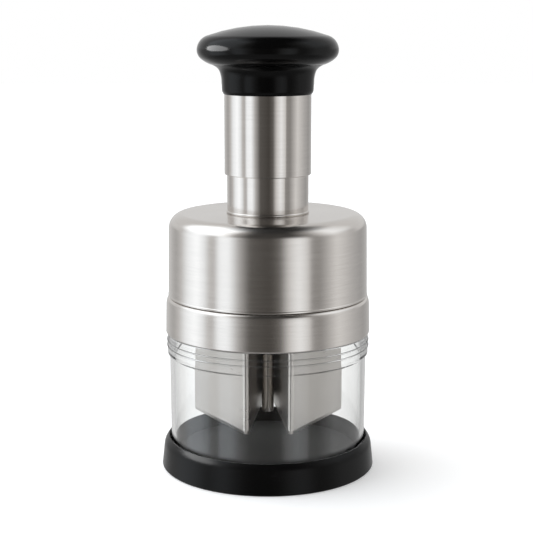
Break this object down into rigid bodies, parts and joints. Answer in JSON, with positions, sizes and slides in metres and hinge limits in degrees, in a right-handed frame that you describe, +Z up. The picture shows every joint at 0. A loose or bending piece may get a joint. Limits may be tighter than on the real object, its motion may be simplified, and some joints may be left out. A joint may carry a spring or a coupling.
{
  "type": "plunger food chopper",
  "caption": "Press-top hand food chopper: knob and sliding sleeve over a steel head, clear cup with a folded zigzag blade, round base tray.",
  "frame": {"origin": "centre of the ring face that the base tray stands on", "axes": "+Z up along the plunger and the drive shaft, -Y towards the front folds of the blade, +X to the right seen from the front"},
  "size_m": [0.1054, 0.1054, 0.2162],
  "materials": {
    "gloss_black": "polished moulding",
    "satin_black": "satin moulding",
    "black_tray": "satin moulding",
    "board": "fine matt, lightly scored",
    "black_moulding": "as moulded",
    "clear_cup": "clear, polished",
    "brushed_steel": "brushed around the axis",
    "blade_steel": "ground, polished edge",
    "polished_steel": "polished",
    "spring_wire": "drawn wire",
    "zinc_plate": "bright zinc",
    "bush_brass": "turned",
    "acetal": "as moulded"
  },
  "bodies": {
    "base": {"base_tray": "black_tray", "chopping_board": "board"},
    "cup": {"cup": "clear_cup"},
    "head": {"dome_shell": "brushed_steel", "steel_band": "brushed_steel", "band_liner": "black_moulding", "inner_frame": "black_moulding", "neck_tube": "brushed_steel", "guide_bush": "bush_brass", "spring_seat": "zinc_plate", "return_spring": "spring_wire", "drive_ring": "acetal", "guide_pins": "polished_steel", "pawl_spring": "spring_wire", "ring_retainer": "acetal", "retainer_screws": "zinc_plate"},
    "slider": {"spring_cup": "acetal"},
    "plunger": {"outer_sleeve": "brushed_steel", "plunger_core": "black_moulding", "knob_neck": "satin_black", "knob_screws": "zinc_plate", "knob_cap": "gloss_black"},
    "blades": {"drive_shaft": "polished_steel", "thrust_washer": "zinc_plate", "shaft_circlip": "spring_wire", "zigzag_blade": "blade_steel", "blade_carrier": "acetal", "hub_nut": "zinc_plate"}
  },
  "joints": [
    {"name": "cup_lift", "type": "slide", "parent": "base", "child": "cup", "axis": [0, 0, 1], "range_m": [0, 0.04]},
    {"name": "head_lift", "type": "slide", "parent": "cup", "child": "head", "axis": [0, 0, 1], "range_m": [0, 0.075]},
    {"name": "plunger_press", "type": "slide", "parent": "head", "child": "slider", "axis": [0, 0, -1], "range_m": [0, 0.0175], "stiffness_N_per_m": 900, "springref_m": -0.01, "deforming": ["return_spring"]},
    {"name": "knob_turn", "type": "hinge", "parent": "slider", "child": "plunger", "pos_m": [0, 0, 0.19], "axis": [0, 0, 1], "continuous": true},
    {"name": "blade_turn", "type": "hinge", "parent": "slider", "child": "blades", "pos_m": [0, 0, 0.12], "axis": [0, 0, 1], "range_deg": [-45, 0]}
  ],
  "couplings": [
    {"joint": "blade_turn", "follows": "plunger_press", "rad_per_m": -44.87}
  ]
}
